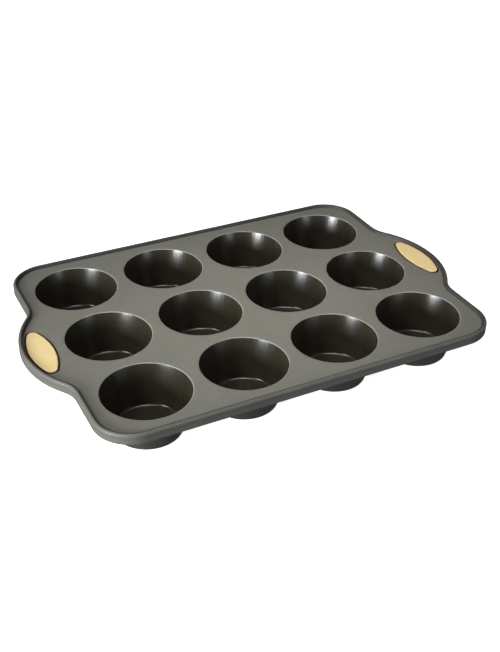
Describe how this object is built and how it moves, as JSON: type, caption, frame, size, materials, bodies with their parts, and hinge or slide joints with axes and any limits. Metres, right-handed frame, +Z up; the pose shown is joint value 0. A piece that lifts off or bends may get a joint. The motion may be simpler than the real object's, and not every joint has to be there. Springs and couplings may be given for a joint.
{
  "type": "silicone muffin tray",
  "caption": "Reinforced silicone muffin tray: round tapered cups hang from a flat matte deck, with a beaded rim over a steel wire and oval grip pads in two handles.",
  "frame": {"origin": "on the surface that the cups stand on, below the middle of the tray", "axes": "+X along the tray towards the right handle, +Y towards the back long side, +Z up out of the cups' mouths"},
  "size_m": [0.3888, 0.264, 0.0386],
  "materials": {
    "tray_silicone": "matte, finely mottled grey-olive silicone",
    "cavity_silicone": "glossy moulded dark silicone",
    "grip_silicone": "satin cream-yellow silicone",
    "frame_steel": "plain drawn wire"
  },
  "bodies": {
    "root": {"deck": "tray_silicone", "rim": "tray_silicone", "rim_wire": "frame_steel", "grip_left": "grip_silicone", "grip_right": "grip_silicone", "cup_a1": "cavity_silicone", "cup_a2": "cavity_silicone", "cup_a3": "cavity_silicone", "cup_a4": "cavity_silicone", "cup_b1": "cavity_silicone", "cup_b2": "cavity_silicone", "cup_b3": "cavity_silicone", "cup_b4": "cavity_silicone", "cup_c1": "cavity_silicone", "cup_c2": "cavity_silicone", "cup_c3": "cavity_silicone", "cup_c4": "cavity_silicone"}
  },
  "joints": []
}
